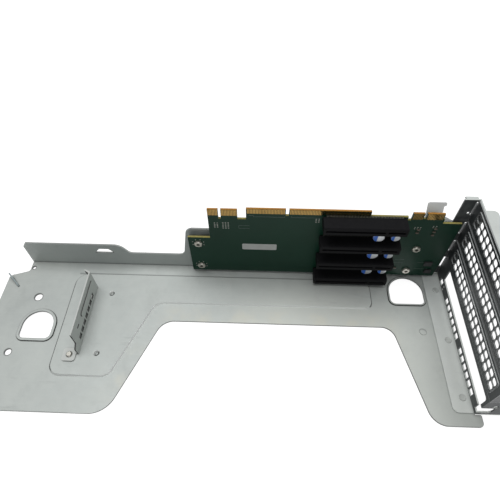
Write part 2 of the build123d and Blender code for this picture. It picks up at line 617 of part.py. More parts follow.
def make_cover_screw(z):
    """Hexagon-head screw through a cover tab into the ledge."""
    face = PANEL_FRONT - COVER_SHEET
    head = Pos(COVER_SCREW_X, z) * RegularPolygon(COVER_SCREW_HEAD, 6)
    screw = back_from(face - COVER_SCREW_HEAD_HEIGHT, head, COVER_SCREW_HEAD_HEIGHT)
    screw += level(COVER_SCREW_X, z, face, face + COVER_SCREW_REACH, COVER_SCREW_RADIUS)
    return screw - cross_recess(COVER_SCREW_X, z, face - COVER_SCREW_HEAD_HEIGHT)


def capacitor_places():
    """Centre and radius of the capacitors, two between each pair of neighbouring slots."""
    heights = [z + SLOT_PITCH / 2 - CAPACITOR_DROP for z in SLOT_HEIGHTS[:-1]]
    return [(x, z, radius) for z in heights for x, radius in CAPACITORS]


def make_can(x, z, radius):
    """Aluminium can of a capacitor."""
    can = level(x, z, -CAPACITOR_HEIGHT, -CAPACITOR_BASE, radius)
    return chamfer(can.faces().sort_by(Axis.Y)[0].edges(), CAPACITOR_CHAMFER)


def make_base(x, z, radius):
    """Moulded base of a capacitor with two cut corners."""
    side = 2 * (radius + CAPACITOR_BASE_MARGIN)
    base = chamfer(Rectangle(side, side).vertices().group_by(Axis.X)[-1], side / 5)
    return back_from(-CAPACITOR_BASE, Pos(x, z) * base, CAPACITOR_BASE)


def make_retainer():
    """Upright guide for the far end of long cards, with two riveted feet."""
    low, top = FIELD_TOP, FIELD_TOP + RETAINER_HEIGHT
    left = RETAINER_FACE - RETAINER_SHEET
    side = rounded([
        (RETAINER_REAR, low, 0), (RETAINER_REAR, top, 1), (RETAINER_FRONT, top, 1),
        (RETAINER_FRONT - 0.4, low + RETAINER_TOE_HEIGHT + 2.4, 0),
        (RETAINER_TOE, low + RETAINER_TOE_HEIGHT, 1), (RETAINER_TOE, low, 0)])
    for k in range(RETAINER_HOLES):
        y = RETAINER_HOLE_REAR - RETAINER_HOLE_PITCH * k
        side -= Pos(y, low + RETAINER_HOLE_RAISE) * Rectangle(RETAINER_HOLE_LENGTH, RETAINER_HOLE_HEIGHT)
    side -= Pos(RETAINER_EYE_Y, low + RETAINER_RIB_RAISE) * SlotOverall(RETAINER_EYE_LENGTH, RETAINER_EYE_HEIGHT)
    retainer = right_from(left, side, RETAINER_SHEET)
    rib = Pos(RETAINER_RIB_Y, low + RETAINER_RIB_RAISE) * SlotOverall(RETAINER_RIB_LENGTH, RETAINER_RIB_HEIGHT)
    retainer += extrude(Plane.YZ.offset(RETAINER_FACE) * rib, RETAINER_RIB_RISE, taper=RIM_SLOPE)
    retainer -= extrude(Plane.YZ.offset(left) * offset(rib, -RETAINER_RIB_RISE), RETAINER_RIB_RISE)
    hook = Polygon(
        (RETAINER_FACE, RETAINER_REAR), (left - RETAINER_HOOK_OUT, RETAINER_REAR + RETAINER_HOOK_BACK),
        (left - RETAINER_HOOK_OUT, RETAINER_REAR + RETAINER_HOOK_BACK - RETAINER_SHEET),
        (left, RETAINER_REAR - RETAINER_SHEET), (RETAINER_FACE, RETAINER_REAR - RETAINER_SHEET), align=None)
    retainer += up_from(top - RETAINER_HOOK_HEIGHT, hook, RETAINER_HOOK_HEIGHT)
    half = RETAINER_FOOT_LENGTH / 2
    for y, clear in zip(RETAINER_FEET, (0, RETAINER_FOOT_GAP)):
        foot = up_from(low, Pos(left - clear - RETAINER_FOOT / 2, y) * RectangleRounded(
            RETAINER_FOOT, RETAINER_FOOT_LENGTH, 2), RETAINER_SHEET)
        foot += block(left - 3, max(y - half + 2.5, RETAINER_TOE), low, RETAINER_FACE, y + half - 2, low + RETAINER_SHEET)
        retainer += foot
        retainer -= upright(RETAINER_RIVET_X, y, low - 1, low + RETAINER_SHEET + 1, RIVET_HOLE)
    return retainer


def make_retainer_rivet(y):
    """Domed rivet through a retainer foot and the pressed field."""
    x, seat = RETAINER_RIVET_X, FIELD_TOP + RETAINER_SHEET
    head = upright(x, y, seat, seat + RIVET_HEAD_HEIGHT, RIVET_HEAD)
    head = chamfer(head.faces().sort_by(Axis.Z)[-1].edges(), RIVET_HEAD_HEIGHT * 0.7)
    tail = upright(x, y, FIELD_RISE - RIVET_TAIL_HEIGHT, FIELD_RISE, RIVET_TAIL)
    return head + upright(x, y, FIELD_RISE, seat, RIVET_RADIUS) + tail


def make_panel_rivet(y):
    """Flat rivet through the panel's foot, flush under the tray."""
    seat = TRAY_TOP + PANEL_SHEET
    head = upright(PANEL_RIVET_X, y, seat, seat + RIVET_FLAT_HEIGHT, RIVET_HEAD)
    head = chamfer(head.faces().sort_by(Axis.Z)[-1].edges(), RIVET_FLAT_HEIGHT / 2)
    return head + upright(PANEL_RIVET_X, y, 0, seat, RIVET_RADIUS)


def make_return_rivet(z):
    """Rivet that ties the panel's rear return to the tray's rear wall."""
    x, face = RETURN_RIVET_X, WALL_FRONT - PANEL_SHEET
    rivet = level(x, z, face - RIVET_FLAT_HEIGHT, face, RIVET_HEAD)
    rivet += level(x, z, face, WALL_BACK, RIVET_RADIUS)
    return rivet + level(x, z, WALL_BACK, WALL_BACK + RIVET_FLAT_HEIGHT, RIVET_TAIL)


def small_part(x, z, length, height, thickness):
    """Flat component soldered to the front face of the board."""
    return back_from(-thickness, span(x, z, x + length, z + height), thickness)


nodes = {
    "tray": make_tray(),
    "slot_panel": make_panel(),
    "riser_board": make_board(),
    "edge_contacts_left": edge_pads(TONGUES_LEFT, PAD_LENGTH),
    "edge_contacts_main": edge_pads(TONGUES_MAIN, PAD_LENGTH_MAIN),
    "edge_contacts_right": edge_pads(TONGUES_RIGHT, PAD_LENGTH),
    "board_standoffs": group([make_standoff(x, z) for x, z in SCREW_PLACES]),
    "board_screws": group([make_board_screw(x, z) for x, z in SCREW_PLACES]),
    "capacitor_cans": group([make_can(*place) for place in capacitor_places()]),
    "capacitor_bases": group([make_base(*place) for place in capacitor_places()]),
    "board_chips": group([small_part(x, TRAY_TOP + z, *size) for x, z, *size in CHIPS]),
    "chip_capacitors": group([small_part(x, TRAY_TOP + z, *CHIP_CAPACITOR_SIZE) for x, z in CHIP_CAPACITORS]),
    "card_retainer": make_retainer(),
    "retainer_rivets": group([make_retainer_rivet(y) for y in RETAINER_FEET]),
    "panel_rivets": group([make_panel_rivet(y) for y in PANEL_RIVET_Y]),
    "return_rivets": group([make_return_rivet(z) for z in RETURN_RIVET_Z]),
    "cover_screws": group([make_cover_screw(z) for z in WINDOW_HEIGHTS[1:]]),
}
for number, z in enumerate(SLOT_HEIGHTS, start=1):
    nodes[f"slot_housing_{number}"] = make_housing(z)
    nodes[f"slot_contacts_{number}"] = make_contacts(z)
for number, z in enumerate(WINDOW_HEIGHTS[1:], start=1):
    nodes[f"slot_cover_{number}"] = make_cover(z)

for name, shape in nodes.items():
    export_step(shape, f"parts/{name}.step")
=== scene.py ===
import math

import bmesh
import bpy
from mathutils import Matrix, Vector


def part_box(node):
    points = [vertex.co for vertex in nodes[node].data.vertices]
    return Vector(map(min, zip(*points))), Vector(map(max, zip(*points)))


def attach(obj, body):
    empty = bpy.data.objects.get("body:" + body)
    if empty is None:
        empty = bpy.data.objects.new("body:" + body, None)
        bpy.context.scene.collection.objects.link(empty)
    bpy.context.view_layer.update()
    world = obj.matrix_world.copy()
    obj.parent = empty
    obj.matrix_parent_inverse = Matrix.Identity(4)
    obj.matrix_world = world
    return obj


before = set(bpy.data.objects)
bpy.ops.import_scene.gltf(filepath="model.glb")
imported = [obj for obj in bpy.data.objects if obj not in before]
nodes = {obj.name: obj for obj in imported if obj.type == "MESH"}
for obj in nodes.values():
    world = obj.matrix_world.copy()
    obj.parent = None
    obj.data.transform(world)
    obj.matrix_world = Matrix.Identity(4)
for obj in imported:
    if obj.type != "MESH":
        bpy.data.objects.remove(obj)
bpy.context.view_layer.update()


# The tray is one zinc-plated steel sheet, blanked, pressed and bent, and it carries everything
# else. Its skin is the dull spangle of galvanised coil: pale grey with soft clouds, fine rolling
# grain along its length and a few rub marks, with painted shade in its corners and painted
# highlights along its edges.
class Signal:
    """A shader socket that adds its Math nodes as it is used in an expression."""

    def __init__(self, tree, socket):
        self.tree = tree
        self.socket = socket

    def work(self, operation, first, second=0.0):
        node = self.tree.nodes.new("ShaderNodeMath")
        node.operation = operation
        for socket, value in zip(node.inputs, (first, second)):
            if isinstance(value, Signal):
                self.tree.links.new(value.socket, socket)
            else:
                socket.default_value = value
        return Signal(self.tree, node.outputs[0])

    def __add__(self, other):
        return self.work("ADD", self, other)

    def __radd__(self, other):
        return self.work("ADD", other, self)

    def __sub__(self, other):
        return self.work("SUBTRACT", self, other)

    def __rsub__(self, other):
        return self.work("SUBTRACT", other, self)

    def __mul__(self, other):
        return self.work("MULTIPLY", self, other)

    def __rmul__(self, other):
        return self.work("MULTIPLY", other, self)

    def __abs__(self):
        return self.work("ABSOLUTE", self)


class Shader:
    """The nodes of one tree, each made by type, settings and sockets."""

    def __init__(self, tree):
        self.tree = tree

    def put(self, socket, value):
        """Links a signal to a socket, or sets a value on it."""
        if isinstance(value, Signal):
            self.tree.links.new(value.socket, socket)
        elif socket.type == "RGBA":
            socket.default_value = (*value, 1.0)
        else:
            socket.default_value = value

    def add(self, kind, settings=None, sockets=None, out=0):
        """Makes a node of a kind and gives back the signal of one of its outputs."""
        node = self.tree.nodes.new(kind)
        for name, value in (settings or {}).items():
            setattr(node, name, value)
        for name, value in (sockets or {}).items():
            self.put(node.inputs[name], value)
        return Signal(self.tree, node.outputs[out])


class Finish(Shader):
    """One finish of this assembly: a Principled material whose colour is laid on in coats."""

    def __init__(self, name, roughness=0.5, metallic=0.0, specular=0.5):
        self.material = bpy.data.materials.new(name)
        self.material.use_nodes = True
        super().__init__(self.material.node_tree)
        self.skin = self.tree.nodes["Principled BSDF"]
        self.put(self.skin.inputs["Roughness"], roughness)
        self.put(self.skin.inputs["Metallic"], metallic)
        self.put(self.skin.inputs["Specular IOR Level"], specular)

    def where(self, stretch=(1.0, 1.0, 1.0)):
        """The row's own coordinates in metres, stretched along each axis."""
        place = self.add("ShaderNodeTexCoord", out="Object")
        return self.add("ShaderNodeMapping", {}, {"Vector": place, "Scale": stretch})

    def along(self, axis):
        """The row's own coordinate along one axis, in metres."""
        return self.add("ShaderNodeSeparateXYZ", {}, {0: self.where()}, axis)

    def away(self, plane, point):
        """Distance in metres from a point, measured in the plane whose axes are 1."""
        flat = self.add("ShaderNodeVectorMath", {"operation": "MULTIPLY"}, {
            0: self.where(), 1: plane}, "Vector")
        return self.add("ShaderNodeVectorMath", {"operation": "DISTANCE"}, {0: flat, 1: point}, "Value")

    def facing(self, axis):
        """How far the surface faces along an axis, from -1 to 1."""
        normal = self.add("ShaderNodeNewGeometry", out="Normal")
        return self.add("ShaderNodeSeparateXYZ", {}, {0: normal}, axis)

    def clouds(self, scale, detail=3.0, stretch=(1.0, 1.0, 1.0), rough=0.55):
        """Soft noise from 0 to 1, fixed to the piece."""
        return self.add("ShaderNodeTexNoise", {}, {
            "Vector": self.where(stretch), "Scale": scale, "Detail": detail, "Roughness": rough})

    def band(self, signal, low, high):
        """A soft step: 0 where the signal is at low and 1 where it is at high."""
        return self.add("ShaderNodeMapRange", {"interpolation_type": "SMOOTHSTEP"}, {
            "Value": signal, "From Min": low, "From Max": high})

    def blend(self, mask, first, second):
        """Colour that goes from the first to the second as the mask goes from 0 to 1."""
        return self.add("ShaderNodeMix", {"data_type": "RGBA"}, {0: mask, 6: first, 7: second}, 2)

    def edge_mask(self, radius):
        """1 along edges and 0 elsewhere, from the bevelled normal."""
        bevel = self.add("ShaderNodeBevel", {"samples": 6}, {"Radius": radius})
        true = self.add("ShaderNodeNewGeometry", out="Normal")
        alike = self.add("ShaderNodeVectorMath", {"operation": "DOT_PRODUCT"}, {0: bevel, 1: true}, "Value")
        return self.band(alike, 0.995, 0.90)

    def crevice(self, reach):
        """0 in the open and 1 deep in a corner between two faces."""
        open_air = self.add("ShaderNodeAmbientOcclusion", {"samples": 6}, {"Distance": reach}, "AO")
        return self.band(open_air, 0.90, 0.45)

    def base(self, mask, first, second):
        """Colour of the bare finish, mottled between two tones."""
        self.colour = self.blend(mask, first, second)
        self.feed(Base_Color=self.colour)

    def coat(self, mask, colour):
        """One more colour, laid over what is there where the mask is 1."""
        self.base(mask, self.colour, colour)

    def feed(self, **links):
        """Signals or values for the Principled sockets, named with _ for a space."""
        for name, value in links.items():
            self.put(self.skin.inputs[name.replace("_", " ")], value)

    def bump(self, height, strength, distance):
        """Small relief of the surface, distance in metres."""
        self.feed(Normal=self.add("ShaderNodeBump", {}, {
            "Height": height, "Strength": strength, "Distance": distance}))

    def dress(self, *names):
        """Gives the finish to pieces of the frame."""
        for name in names:
            slots = nodes[name].data.materials
            slots.clear()
            slots.append(self.material)


def shade(colour, share):
    """A colour at some share of its brightness."""
    return tuple(share * part for part in colour)


FLAT_FOOT = (0.0023, 0.0030)  # metres over the tray, where a sheet's foot ends and its upright starts


def zinc_sheet(name, pale, dark, roughness, metallic, upright=None, shine=0.25):
    """Galvanised sheet: clouds, grain, spangle and rubs, with painted corner shade, edge highlights and
    upright tone.
    """
    sheet = Finish(name, roughness, metallic)
    broad = sheet.band(sheet.clouds(9.0, 3.0), 0.30, 0.70)
    stains = sheet.band(sheet.clouds(38.0, 5.0, rough=0.6), 0.52, 0.72)
    spangle = sheet.add("ShaderNodeTexVoronoi", {}, {"Vector": sheet.where(), "Scale": 190.0}, "Color")
    facet = sheet.add("ShaderNodeSeparateColor", {}, {"Color": spangle})
    grain = sheet.clouds(60.0, 4.0, (0.6, 14.0, 14.0))
    rubs = sheet.band(sheet.clouds(26.0, 6.0, (1.0, 5.0, 5.0), 0.7), 0.60, 0.74)
    mottle = sheet.clouds(150.0, 3.0, rough=0.6)
    tone = broad * 0.34 + facet * 0.10 + grain * 0.26 + mottle * 0.36
    sheet.base(tone, dark, pale)
    warmth = sheet.band(sheet.clouds(5.0, 1.0), 0.46, 0.66)
    sheet.coat(warmth * 0.5, (pale[0], 0.98 * pale[1], 0.94 * pale[2]))
    # Upright faces above the foot take the upright tone: painted shade where it is darker than the sheet,
    # painted light where it is paler.
    if upright:
        above_foot = sheet.band(sheet.along("Z"), *FLAT_FOOT)
        standing = sheet.band(sheet.facing("Z"), 0.75, 0.35) * above_foot
        sheet.coat(standing, sheet.blend(tone, shade(upright, 0.75), upright))
        sheet.feed(Metallic=metallic * (0.4 + standing * 0.4))
    sheet.coat(rubs * 0.22, shade(dark, 0.72))
    sheet.coat(stains * 0.20, shade(dark, 0.70))
    # Painted shade in the corners between faces, and a painted highlight along edges.
    sheet.coat(sheet.crevice(0.0018) * 0.3, shade(dark, 0.35))
    sheet.coat(sheet.edge_mask(0.0005) * shine, tuple(0.28 + 0.72 * part for part in pale))
    sheet.feed(Roughness=roughness - 0.07 + facet * 0.05 + grain * 0.14 + rubs * 0.1)
    sheet.bump(grain * 0.6 + facet * 0.25, 0.10, 0.0002)
    return sheet


TRAY_PALE, TRAY_DARK, TRAY_METAL = (0.55, 0.58, 0.555), (0.385, 0.415, 0.405), 0.40
tray_zinc = zinc_sheet("tray_zinc", TRAY_PALE, TRAY_DARK, 0.50, TRAY_METAL)
tray_x, tray_y, tray_z = (tray_zinc.along(axis) for axis in "XYZ")
facing_up, facing_right = tray_zinc.facing("Z"), tray_zinc.facing("X")

# Each pair is a place in metres, where a soft step starts and where it is full.
WALL_FRONT, WALL_FACE, WALL_FOOT = (0.0046, 0.0044), (0.0040, 0.0046), (0.0032, 0.0014)
FLOOR_TOP, SHEET_EDGE, HOOK_FOOT = (0.0026, 0.0023), (0.0024, 0.0022), (0.058, 0.060)
before_wall = tray_zinc.band(tray_y, *WALL_FRONT)
on_floor = tray_zinc.band(tray_z, *FLOOR_TOP) * before_wall

# The front face of the rear wall is painted darker than the floor as shade, with a line of painted
# shade along its foot. The hook at its top leans back and carries a painted highlight.
# The dark tone of bare cut steel serves below mostly as painted shade.
WALL_SHADE, HOOK_HIGHLIGHT, BARE_STEEL_AND_SHADE = (0.36, 0.395, 0.39), (0.90, 0.92, 0.91), (0.10, 0.105, 0.10)
on_wall = tray_zinc.band(facing_up, 0.2, 0.1) * tray_zinc.band(tray_y, *WALL_FACE)
tray_zinc.coat(on_wall * 0.45, WALL_SHADE)
tray_zinc.coat(on_wall * tray_zinc.band(tray_z, *WALL_FOOT) * 0.6, BARE_STEEL_AND_SHADE)
tray_zinc.coat(tray_zinc.band(tray_z, *HOOK_FOOT) * tray_zinc.band(facing_up, 0.25, 0.35), HOOK_HIGHLIGHT)

# Handling has left faint warm stains along the bay.
ON_TRAY, STAIN = (1.0, 1.0, 0.0), (0.60, 0.575, 0.47)
BAY_CORNER, CORNER_REACH = (-0.128, -0.088, 0.0), (0.030, 0.004)
BAY_REAR, BAY_LEFT, BAY_RIGHT = (-0.030, -0.042), (-0.122, -0.108), (0.070, 0.040)
at_corner = tray_zinc.band(tray_zinc.away(ON_TRAY, BAY_CORNER), *CORNER_REACH)
at_rear = tray_zinc.band(tray_y, *BAY_REAR) * tray_zinc.band(tray_x, *BAY_LEFT)
at_rear = at_rear * tray_zinc.band(tray_x, *BAY_RIGHT)
patches = tray_zinc.band(tray_zinc.clouds(45.0, 4.0), 0.40, 0.62)
tray_zinc.coat((at_corner + at_rear) * patches * on_floor * 0.35, STAIN)

# The slopes of the pressed field carry painted light where they face the front and a thin line of
# painted shade where they turn away, and the right slope is painted in shade at the field's right
# end. The pressed rims of the hand holes carry painted shade all round, and so does the foot of the
# field's rear edge.
SLOPE_LIGHT, SLOPE_HIGHLIGHT, SLOPE_SHADE = (0.74, 0.77, 0.75), (0.80, 0.82, 0.81), (0.05, 0.055, 0.05)
FIELD_LEFT, FIELD_RIGHT, FIELD_END = (-0.1880, -0.1875), (0.0500, 0.0495), (0.0400, 0.0420)
FIELD_REAR_EDGE, REAR_FOOT_HALF = -0.0054, (0.0010, 0.0005)
STUD, STUD_OUTSIDE = (0.0793, -0.0486, 0.0), (0.0035, 0.0045)
sheared = tray_zinc.band(facing_up, 0.4, 0.2) * tray_zinc.band(tray_z, *SHEET_EDGE) * before_wall
slope = tray_zinc.band(facing_up, 0.97, 0.90) * on_floor * (1.0 - sheared)
on_field = tray_zinc.band(tray_x, *FIELD_LEFT) * tray_zinc.band(tray_x, *FIELD_RIGHT)
turned_away = tray_zinc.band(tray_zinc.facing("Y") - facing_right, -0.1, 0.3)
off_stud = tray_zinc.band(tray_zinc.away(ON_TRAY, STUD), *STUD_OUTSIDE)
tray_zinc.coat(slope * on_field * (1.0 - turned_away) * 0.8, SLOPE_LIGHT)
right_slope = slope * on_field * tray_zinc.band(facing_right, 0.4, 0.6)
right_end = tray_zinc.band(tray_x, *FIELD_END)
tray_zinc.coat(right_slope * (1.0 - right_end), SLOPE_HIGHLIGHT)
tray_zinc.coat(right_slope * right_end * 0.8, BARE_STEEL_AND_SHADE)
tray_zinc.coat(slope * (turned_away * on_field + (1.0 - on_field) * off_stud), SLOPE_SHADE)
rear_foot = tray_zinc.band(abs(tray_y - FIELD_REAR_EDGE), *REAR_FOOT_HALF)
tray_zinc.coat(rear_foot * on_field * on_floor * 0.45, BARE_STEEL_AND_SHADE)

# The sheared edges of the sheet show bare steel, painted darker still as shade. The wall's upper
# edge and the fin are painted dark as shade, and so are thin outlines along the edges on the floor.
ABOVE_FLOOR, FIELD_PLAIN = (0.008, 0.009), (-0.170, -0.165)
FIN_SHADE, FIN_FOOT = (0.13, 0.17, 0.18), (0.0013, 0.0016)
FIN_RIGHT, FIN_REAR = (-0.2318, -0.2322), (-0.0085, -0.0090)
wall_edge = tray_zinc.band(tray_z, *ABOVE_FLOOR) * tray_zinc.band(facing_up, 0.85, 0.95)
tray_zinc.coat(wall_edge * 0.5, BARE_STEEL_AND_SHADE)
tray_zinc.coat(sheared, BARE_STEEL_AND_SHADE)
fin = tray_zinc.band(tray_x, *FIN_RIGHT) * tray_zinc.band(tray_z, *FIN_FOOT)
tray_zinc.coat(fin * tray_zinc.band(tray_y, *FIN_REAR) * 0.8, FIN_SHADE)
plain_field = tray_zinc.band(tray_x, *FIELD_PLAIN) * on_field
outlines = tray_zinc.edge_mask(0.0008) * on_floor * (1.0 - plain_field) * off_stud * (1.0 - sheared)
tray_zinc.coat(outlines * 0.6, BARE_STEEL_AND_SHADE)

# Painted shade lies behind the retainer's foot, in the two dimples, round the stud mark and round
# the punched holes. The dimples and the stud are left unshaded on one side, as if lit there.
DEEP_SHADE, STUD_SHADE = (0.03, 0.032, 0.03), (0.12, 0.125, 0.12)
DIMPLES = ((-0.1574, -0.0238), (-0.1574, -0.0734))
PUNCHED_HOLES = ((-0.2145, -0.0283, 0.0030), (-0.2220, -0.0742, 0.0024), (-0.2270, -0.0010, 0.0014))
DIMPLE_RIM, DIMPLE_LIT, LIT_SHIFT = (0.0023, 0.0017), (0.0006, 0.0018), 0.0009
STUD_RIM, STUD_LIT, STUD_LIT_PLACE = (0.0031, 0.0027), (0.0024, 0.0036), (0.0786, -0.0500, 0.0)
HOLE_SHADE_OUT, HOLE_SHADE_FULL = 0.0009, 0.0004
FOOT_LEFT, FOOT_RIGHT = (-0.1736, -0.1728), (-0.1698, -0.1702)
FOOT_FRONT, FOOT_REAR = (-0.0705, -0.0690), (-0.0185, -0.0200)
behind = tray_zinc.band(tray_x, *FOOT_LEFT) * tray_zinc.band(tray_x, *FOOT_RIGHT)
behind = behind * tray_zinc.band(tray_y, *FOOT_FRONT) * tray_zinc.band(tray_y, *FOOT_REAR)
tray_zinc.coat(behind * on_floor * 0.9, DEEP_SHADE)
for x, y in DIMPLES:
    inside = tray_zinc.band(tray_zinc.away(ON_TRAY, (x, y, 0.0)), *DIMPLE_RIM)
    shaded_side = tray_zinc.band(tray_zinc.away(ON_TRAY, (x + LIT_SHIFT, y - LIT_SHIFT, 0.0)), *DIMPLE_LIT)
    tray_zinc.coat(inside * shaded_side * 0.62, BARE_STEEL_AND_SHADE)
stud_ring = tray_zinc.band(tray_zinc.away(ON_TRAY, STUD), *STUD_RIM)
stud_ring = stud_ring * tray_zinc.band(tray_zinc.away(ON_TRAY, STUD_LIT_PLACE), *STUD_LIT)
tray_zinc.coat(stud_ring * 0.5, STUD_SHADE)
for x, y, radius in PUNCHED_HOLES:
    hole_shade = tray_zinc.band(tray_zinc.away(ON_TRAY, (x, y, 0.0)), radius + HOLE_SHADE_OUT, radius + HOLE_SHADE_FULL)
    tray_zinc.coat(hole_shade * on_floor * 0.65, BARE_STEEL_AND_SHADE)
tray_zinc.feed(Metallic=(1.0 - sheared) * TRAY_METAL)
tray_zinc.dress("tray")


# The slot panel is a second sheet of the same zinc-plated steel, riveted to the tray and to its
# rear wall. Its upright faces are duller and painted much darker than its foot as shade, with a
# faint painted highlight along its edges, and the flat heads of its rivets are plain zinc.
PANEL_PALE, PANEL_DARK, PANEL_UPRIGHT_SHADE = (0.655, 0.69, 0.67), (0.555, 0.59, 0.57), (0.076, 0.084, 0.086)
RIVET_PALE, RIVET_DARK = (0.60, 0.63, 0.61), (0.45, 0.48, 0.46)
panel_zinc = zinc_sheet("panel_zinc", PANEL_PALE, PANEL_DARK, 0.50, 0.4, PANEL_UPRIGHT_SHADE, 0.2)
panel_zinc.dress("slot_panel")
rivet_zinc = zinc_sheet("rivet_zinc", RIVET_PALE, RIVET_DARK, 0.42, 0.4, shine=0.0)
rivet_zinc.dress("panel_rivets", "return_rivets")


# Three blank covers close the upper card openings. Each is thin zinc-plated sheet with a pressed,
# perforated rib, held by a tongue at the rear and a screw at the front. Their upright faces are
# painted dark as shade, and their edges carry a strong painted highlight.
COVER_PALE, COVER_DARK, COVER_UPRIGHT_SHADE = (0.34, 0.36, 0.36), (0.24, 0.26, 0.26), (0.040, 0.046, 0.049)
cover_zinc = zinc_sheet("cover_zinc", COVER_PALE, COVER_DARK, 0.36, 0.4, COVER_UPRIGHT_SHADE, 1.0)
cover_zinc.dress("slot_cover_1", "slot_cover_2", "slot_cover_3")


# The card retainer is a small bent upright with two riveted feet that steadies long cards. It is
# stamped from bright galvanised sheet. Its upright faces are painted paler as light, and its cut
# edges and the rims round its row of holes are painted dark as shade.
RETAINER_PALE, RETAINER_DARK, RETAINER_UPRIGHT_LIGHT = (0.56, 0.58, 0.56), (0.46, 0.48, 0.46), (0.62, 0.66, 0.63)
HOLE_ROW_REAR, HOLE_ROW_FRONT, HOLE_PITCH, HOLE_ROW_HEIGHT = -0.0299, -0.0629, 0.0055, 0.0076
HOLE_BESIDE, HOLE_OVER, ROW_OUT, ROW_FULL = (0.0024, 0.0020), (0.0023, 0.0019), 0.0026, 0.0022
UPRIGHT_FOOT, UPRIGHT_TOP, FOOT_TOP = (0.0034, 0.0038), (0.0230, 0.0224), (0.0034, 0.0032)
retainer_zinc = zinc_sheet("retainer_zinc", RETAINER_PALE, RETAINER_DARK, 0.46, 0.30, RETAINER_UPRIGHT_LIGHT)
retainer_y, retainer_z = retainer_zinc.along("Y"), retainer_zinc.along("Z")
from_hole = retainer_zinc.add("ShaderNodeMath", {"operation": "PINGPONG"}, {
    0: retainer_y - HOLE_ROW_REAR, 1: HOLE_PITCH / 2})
hole_rims = retainer_zinc.band(from_hole, *HOLE_BESIDE)
hole_rims = hole_rims * retainer_zinc.band(abs(retainer_z - HOLE_ROW_HEIGHT), *HOLE_OVER)
hole_rims = hole_rims * retainer_zinc.band(retainer_y, HOLE_ROW_FRONT - ROW_OUT, HOLE_ROW_FRONT - ROW_FULL)
hole_rims = hole_rims * retainer_zinc.band(retainer_y, HOLE_ROW_REAR + ROW_OUT, HOLE_ROW_REAR + ROW_FULL)
retainer_zinc.coat(hole_rims * 0.8, DEEP_SHADE)
across = retainer_zinc.facing("X")
side_on = retainer_zinc.band(across * across, 0.5, 0.3)
upright_edges = retainer_zinc.band(retainer_z, *UPRIGHT_FOOT) * retainer_zinc.band(retainer_z, *UPRIGHT_TOP)
foot_edges = retainer_zinc.band(retainer_zinc.facing("Z"), 0.5, 0.3)
foot_edges = foot_edges * retainer_zinc.band(retainer_z, *FOOT_TOP)
retainer_zinc.coat(side_on * (upright_edges + foot_edges) * 0.95, DEEP_SHADE)
retainer_zinc.dress("card_retainer")


# Rivets, screws and standoffs are turned or headed steel with a bright, finely speckled zinc
# finish. The standoffs, cover screws and retainer rivets carry painted highlights along their
# edges and painted shade where they seat, and the recesses of the board screws are painted dark
# as shade.
def turned_steel(name, metallic, dark, pale):
    """Bright plated steel with fine specks, for fasteners."""
    plated = Finish(name, 0.3, metallic)
    speck = plated.clouds(420.0, 3.0)
    plated.base(speck, dark, pale)
    plated.feed(Roughness=0.24 + speck * 0.2)
    plated.bump(speck, 0.12, 0.0001)
    return plated


FASTENER_EDGE_HIGHLIGHT, FASTENER_CREVICE_SHADE = (0.80, 0.79, 0.75), (0.03, 0.028, 0.025)
bright_zinc = turned_steel("bright_zinc", 0.9, (0.30, 0.29, 0.26), (0.58, 0.57, 0.52))
bright_zinc.coat(bright_zinc.edge_mask(0.0003) * 0.5, FASTENER_EDGE_HIGHLIGHT)
bright_zinc.coat(bright_zinc.crevice(0.0012), FASTENER_CREVICE_SHADE)
bright_zinc.dress("board_standoffs", "cover_screws", "retainer_rivets")

SCREW_HEAD_RADIUS, ON_BOARD = 0.003, (1.0, 0.0, 1.0)
RECESS_RIM, RECESS_SHADE = (0.0016, 0.0010), (0.03, 0.028, 0.022)
screw_low, screw_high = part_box("board_screws")
screw_places = [(x, z) for x in (screw_low[0] + SCREW_HEAD_RADIUS, screw_high[0] - SCREW_HEAD_RADIUS)
                for z in (screw_low[2] + SCREW_HEAD_RADIUS, screw_high[2] - SCREW_HEAD_RADIUS)]
screw_zinc = turned_steel("screw_zinc", 0.85, (0.34, 0.33, 0.29), (0.66, 0.64, 0.57))
for x, z in screw_places:
    recess = screw_zinc.band(screw_zinc.away(ON_BOARD, (x, 0.0, z)), *RECESS_RIM)
    screw_zinc.coat(recess * 0.85, RECESS_SHADE)
screw_zinc.dress("board_screws")


# The riser board is a multilayer glass-epoxy laminate under a dark green, faintly mottled solder
# mask. Its routed edges show the bare laminate, and the tongues' edges show a browner one.
MASK_DARK, MASK_PALE = (0.004, 0.026, 0.014), (0.008, 0.046, 0.027)
LAMINATE_DARK, LAMINATE_PALE, TONGUE_EDGE = (0.16, 0.14, 0.04), (0.36, 0.32, 0.11), (0.42, 0.20, 0.04)
TONGUE_FOOT = (0.0742, 0.0750)
board_finish = Finish("solder_mask", 0.42, 0.0, 0.15)
board_finish.base(board_finish.clouds(30.0, 3.0), MASK_DARK, MASK_PALE)
laminate = board_finish.blend(board_finish.clouds(700.0, 2.0), LAMINATE_DARK, LAMINATE_PALE)
on_tongue = board_finish.band(board_finish.along("Z"), *TONGUE_FOOT)
routed = board_finish.band(board_finish.facing("Z"), 0.5, 0.8)
board_finish.coat(routed, board_finish.blend(on_tongue, laminate, TONGUE_EDGE))
board_finish.feed(Roughness=0.40 + routed * 0.3)
board_finish.dress("riser_board")


# Screen-printed lines, bare pads and a blank paper label lie on the board's front face. Ink and
# solder are under a tenth of a millimetre thick, and the label is stuck on.
def board_piece(name, mesh, finish):
    """A finished mesh that rides on the board in one material."""
    data = bpy.data.meshes.new(name)
    mesh.to_mesh(data)
    mesh.free()
    piece = bpy.data.objects.new(name, data)
    bpy.context.scene.collection.objects.link(piece)
    data.materials.append(finish.material)
    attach(piece, "root")
    return piece


